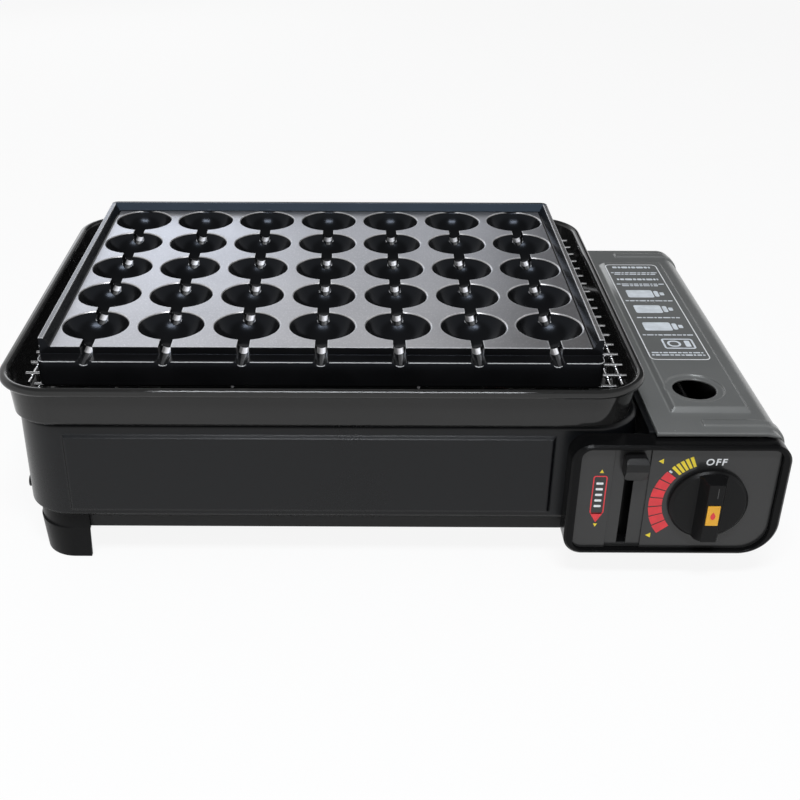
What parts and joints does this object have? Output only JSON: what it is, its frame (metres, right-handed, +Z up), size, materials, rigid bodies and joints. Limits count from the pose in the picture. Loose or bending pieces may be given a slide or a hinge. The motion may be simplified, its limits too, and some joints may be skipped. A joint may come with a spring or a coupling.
{
  "type": "gas quail egg griddle",
  "caption": "Tabletop gas griddle: a cast plate of round wells with skewer grooves on a wire net and enamel tray, over a burner body with a cartridge bay and a control panel.",
  "frame": {"origin": "on the table, under the middle of the box round the whole part", "axes": "+X to the right towards the control panel, +Y to the back, +Z up"},
  "size_m": [0.468, 0.3097, 0.1483],
  "materials": {
    "cast_plate": "die-cast aluminium with a dark non-stick coat",
    "chrome_wire": "bright chrome plate",
    "black_enamel": "glossy black enamel on steel",
    "body_paint": "semi-gloss black paint on steel",
    "pan_steel": "dark grey painted steel",
    "foot_plastic": "moulded black plastic",
    "foot_rubber": "black rubber",
    "cover_paint": "satin dark warm grey paint on steel",
    "plated_steel": "zinc-plated steel",
    "bezel_plastic": "satin black moulded plastic",
    "face_plastic": "black printed panel",
    "knob_plastic": "black moulded plastic",
    "insert_plastic": "yellow moulded insert",
    "lever_plastic": "black moulded plastic",
    "brass": "bright brass",
    "die_cast": "raw die-cast metal",
    "burner_steel": "aluminised steel",
    "igniter_plastic": "pale moulded plastic",
    "lead_sleeve": "red silicone sleeve",
    "ceramic": "glazed white ceramic"
  },
  "bodies": {
    "body": {"body_shell": "body_paint", "bottom_pan": "pan_steel", "front_left_foot": "foot_plastic", "rear_left_foot": "foot_plastic", "right_feet": "foot_rubber", "canister_bay": "body_paint", "hinge_pins": "plated_steel", "canister_guide": "plated_steel", "control_bezel": "bezel_plastic", "control_face": "face_plastic", "regulator": "die_cast", "nozzle_seal": "foot_rubber", "gas_pipe": "brass", "jet_nozzle": "brass", "mixing_tube": "burner_steel", "burner_manifold": "burner_steel", "front_burner_tube": "burner_steel", "rear_burner_tube": "burner_steel", "burner_brackets": "burner_steel", "heat_shield": "burner_steel", "igniter": "igniter_plastic", "igniter_lead": "lead_sleeve", "igniter_electrode": "ceramic", "foot_screws": "plated_steel", "side_screws": "body_paint", "bezel_screws": "plated_steel"},
    "plate": {"griddle_plate": "cast_plate"},
    "net": {"wire_net": "chrome_wire", "net_feet": "chrome_wire"},
    "tray": {"enamel_tray": "black_enamel"},
    "cover": {"canister_cover": "cover_paint"},
    "knob": {"knob": "knob_plastic", "knob_insert": "insert_plastic", "valve_spindle": "brass"},
    "lever": {"lock_lever": "lever_plastic"},
    "pusher": {"canister_pusher": "plated_steel"}
  },
  "joints": [
    {"name": "tray_lift", "type": "slide", "parent": "body", "child": "tray", "axis": [0, 0, 1], "range_m": [0, 0.12]},
    {"name": "net_lift", "type": "slide", "parent": "tray", "child": "net", "axis": [0, 0, 1], "range_m": [0, 0.1]},
    {"name": "plate_lift", "type": "slide", "parent": "net", "child": "plate", "axis": [0, 0, 1], "range_m": [0, 0.1]},
    {"name": "cover_hinge", "type": "hinge", "parent": "body", "child": "cover", "pos_m": [0.2297, 0.01095, 0.084], "axis": [0, 1, 0], "range_deg": [0, 95]},
    {"name": "knob_turn", "type": "hinge", "parent": "body", "child": "knob", "pos_m": [0.189, -0.1422, 0.0555], "axis": [0, -1, 0], "range_deg": [0, 140]},
    {"name": "lever_slide", "type": "slide", "parent": "body", "child": "lever", "axis": [0, 0, -1], "range_m": [0, 0.05]},
    {"name": "pusher_slide", "type": "slide", "parent": "body", "child": "pusher", "axis": [0, -1, 0], "range_m": [0, 0.005]}
  ],
  "couplings": [
    {"joint": "pusher_slide", "follows": "lever_slide", "ratio": 0.1}
  ]
}
